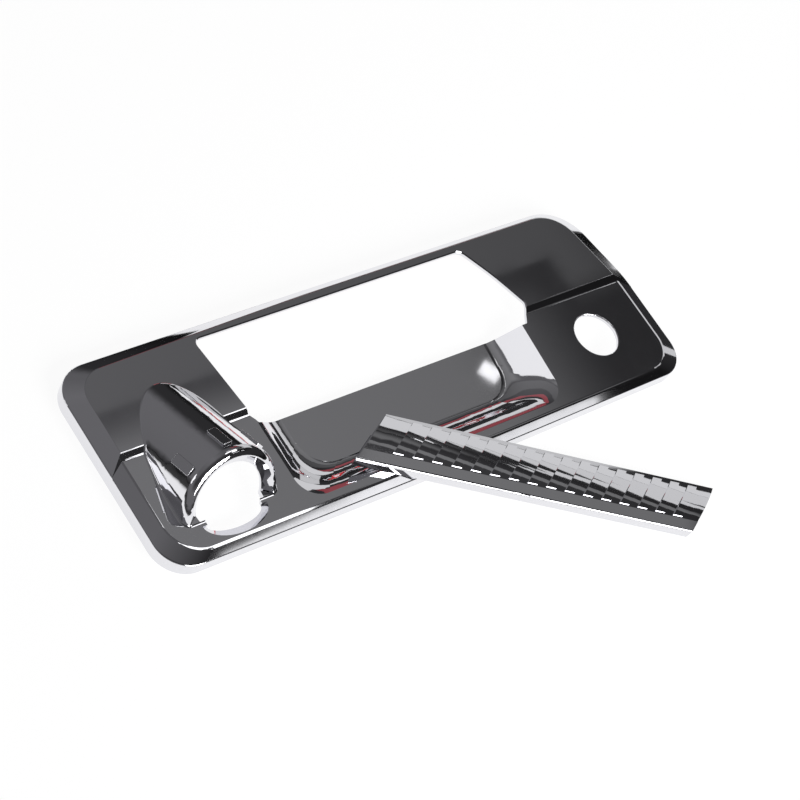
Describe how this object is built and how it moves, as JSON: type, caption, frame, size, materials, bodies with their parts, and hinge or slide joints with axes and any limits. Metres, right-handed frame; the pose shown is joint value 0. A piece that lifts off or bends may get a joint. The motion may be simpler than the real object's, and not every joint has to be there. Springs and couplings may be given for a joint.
{
  "type": "tailgate handle cover",
  "caption": "Chrome plated tailgate handle bezel with handle opening, finger scoop, camera pod and lock hole, and a ribbed handle strip resting across its near edge.",
  "frame": {"origin": "centre of the overall bounding box in X and Y, at the level of the bezel's open back", "axes": "+X along the bezel from the camera pod to the lock hole, +Y up the tailgate from scoop to opening, +Z out of the tailgate"},
  "size_m": [0.346, 0.1984, 0.0364],
  "materials": {
    "chrome_plate": "polished chrome plating on moulded plastic",
    "foam_tape": "matt foam adhesive tape",
    "red_liner": "smooth release film"
  },
  "bodies": {
    "root": {"bezel": "chrome_plate", "handle_strip": "chrome_plate", "foam_top": "foam_tape", "foam_left": "foam_tape", "foam_right_far": "foam_tape", "foam_right_near": "foam_tape", "foam_strip": "foam_tape", "liner_top": "red_liner", "liner_left": "red_liner", "liner_right_far": "red_liner", "liner_right_near": "red_liner", "liner_strip": "red_liner"}
  },
  "joints": []
}
